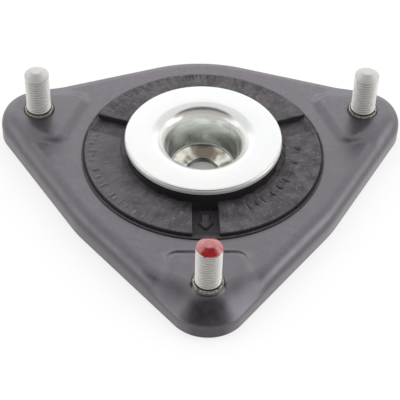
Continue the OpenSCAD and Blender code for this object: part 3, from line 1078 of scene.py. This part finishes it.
rows = len(section)
for name, low, high in (("rear", RIGHT - 360.0, LEFT), ("left", LEFT, FRONT), ("right", FRONT, RIGHT)):
    shares = sector_columns(name, low, high)
    base = len(rubber_points)
    for share in shares:
        for radius, height in section:
            rubber_points.append(sector_point(name, low, high, share, radius, height))
    for c in range(len(shares) - 1):
        near = base + c * rows
        far = near + rows
        for r in range(rows):
            below = (r + 1) % rows
            rubber_faces.append((near + r, near + below, far + below, far + r))
    for c in (0, len(shares) - 1):
        wall = len(rubber_points)
        rubber_points += [rubber_points[base + c * rows + r] for r in range(rows)]
        loop = range(wall, wall + rows)
        rubber_faces.append(tuple(reversed(loop) if c == 0 else loop))
    print(name, "sector:", len(shares), "columns")

# %% [markdown]
# A small arrow is moulded on the floor of the front slot. It is a flat plate with sloped sides, so its
# edges catch the light. With it the rubber ring is complete.

# %% Arrow and ring
arrow = [(43.6, 0.0), (40.2, 2.9), (40.2, 1.6), (35.2, 1.6), (35.2, -1.6), (40.2, -1.6), (40.2, -2.9)]
sides = len(arrow)
arrow_middle = Vector((39.6, 0.0))
base = len(rubber_points)
for scale, height in ((1.0, 10.3), (0.97, 10.9), (0.80, 11.4)):
    for along, across in arrow:
        flat = arrow_middle + (Vector((along, across)) - arrow_middle) * scale
        spot = polar(flat.x, FRONT) + polar(flat.y, FRONT + 90.0)
        rubber_points.append((spot.x, spot.y, height))
for lower in (base, base + sides):
    upper = lower + sides
    for k in range(sides):
        after = (k + 1) % sides
        rubber_faces.append((lower + k, lower + after, upper + after, upper + k))
top = len(rubber_points)
rubber_points += rubber_points[base + 2 * sides:base + 3 * sides]
rubber_faces.append(tuple(range(top, top + sides)))
rubber_faces.append(tuple(reversed(range(base, base + sides))))
make_piece("rubber_ring", rubber_points, rubber_faces, [rubber], "rubber_insulator")

# %% [markdown]
# The studs are rolled: a flat head, a shank pressed into the sheet, a neck, a thread and a cone that
# finds the hole. A thread is a wave along the stud that climbs one pitch in each turn, so the grid's
# radius follows the height and the angle together. The thread fades out at both ends, as a rolled one
# does. Head, shank and neck take the dark lower coat, as painted shade in the gap inside the collar,
# and only the thread above them is bright.

# %% Stud form
THREAD_R = 5.0
PITCH = 1.25
THREAD_DEPTH = 0.70
THREAD_FROM = 13.9
THREAD_TO = 31.0
# Below this height the stud takes the dark coat, as painted shade in the gap inside the collar.
PAINTED_SHADE_TO = 13.6
TIP_Z = 33.1
AROUND = 64
UNPAINTED = 99.0


def stud_heights():
    """Heights and radii from the head, past shank, neck and thread, to the cone's flat tip."""
    rows = [(7.1, 7.2), (7.15, 7.75), (7.4, 8.0), (9.7, 8.0), (10.0, 7.9), (10.1, 7.6), (10.1, 5.2)]
    rows += [(12.1, 5.2), (12.2, 5.0), (12.2, 4.85), (12.3, 4.75), (13.5, 4.75), (13.75, 4.75)]
    height = 13.95
    while height < 30.95:
        rows.append((height, THREAD_R))
        height += 0.13
    rows += [(31.05, 4.97), (31.15, 4.89), (31.35, 4.64), (31.9, 3.87), (32.5, 3.04)]
    rows += [(32.9, 2.48), (33.02, 2.28), (33.09, 2.08), (TIP_Z, 1.9), (TIP_Z, 1.2)]
    return rows


def thread_share(height, angle):
    """How deep a point lies in the thread, from crest 0 to root 1, fading at both ends."""
    if height < THREAD_FROM or height > THREAD_TO:
        return 0.0
    start = smooth((height - THREAD_FROM) / 0.6)
    stop = smooth((THREAD_TO - height) / 0.5)
    phase = (height / PITCH - angle / (2 * math.pi)) % 1.0
    groove = 0.5 + 0.5 * math.cos(2 * math.pi * phase)
    return min(1.0, stop + 0.15) * start * groove ** 1.5


def stud_finish(height, paint_from):
    """Number of the finish at a height: 0 bright thread, 1 dark coat below it as painted shade, 2 red paint
    above it.
    """
    if height <= PAINTED_SHADE_TO:
        return 1
    return 0 if height < paint_from else 2


print("rows of a stud:", len(stud_heights()))

# %% [markdown]
# The red paint ends in a wavy line, as paint does that a tip was dipped into.


# %% Threaded studs
def make_stud(node, finishes, paint_from):
    spot = polar(STUD_R, STUD_ANGLES[node])
    rows = stud_heights()
    count = len(rows)
    points = []
    faces = []
    hollow = []
    painted = []
    for a in range(AROUND):
        angle = 2 * math.pi * a / AROUND
        for height, radius in rows:
            share = thread_share(height, angle)
            wide = radius - THREAD_DEPTH * share
            hollow.append(share)
            points.append((spot.x + wide * math.cos(angle), spot.y + wide * math.sin(angle), height))
        near = a * count
        far = (a + 1) % AROUND * count
        wavy = noise.noise(Vector((3.0 * math.cos(angle), 3.0 * math.sin(angle), 2.0)))
        for r in range(count - 1):
            faces.append((near + r, far + r, far + r + 1, near + r + 1))
            painted.append(stud_finish(rows[r][0], paint_from + 0.25 * wavy))
    faces.append(tuple(a * count for a in reversed(range(AROUND))))
    faces.append(tuple(a * count + count - 1 for a in range(AROUND)))
    painted += [stud_finish(rows[0][0], paint_from), stud_finish(rows[-1][0], paint_from)]
    stud = make_piece("threaded_" + node, points, faces, finishes, node)
    stud.data.polygons.foreach_set("material_index", painted)
    stud.data.attributes.new("groove", "FLOAT", "POINT").data.foreach_set("value", hollow)


make_stud("stud_left", [stud_coat, lower_coat], UNPAINTED)
make_stud("stud_right", [stud_coat, lower_coat], UNPAINTED)
make_stud("stud_front", [stud_coat, lower_coat, tip_paint], 30.5)

# %% [markdown]
# The lower plate's solid already has its bends, and it shows only from below, so it stays and takes the
# coat. Last, the size of the solids is printed.

# %% Lower plate and sizes
for material_slot in frame["nodes"]["lower_plate"].material_slots:
    material_slot.material = lower_coat
print("solids", [round(v * 1000, 2) for c in cad_box for v in c])
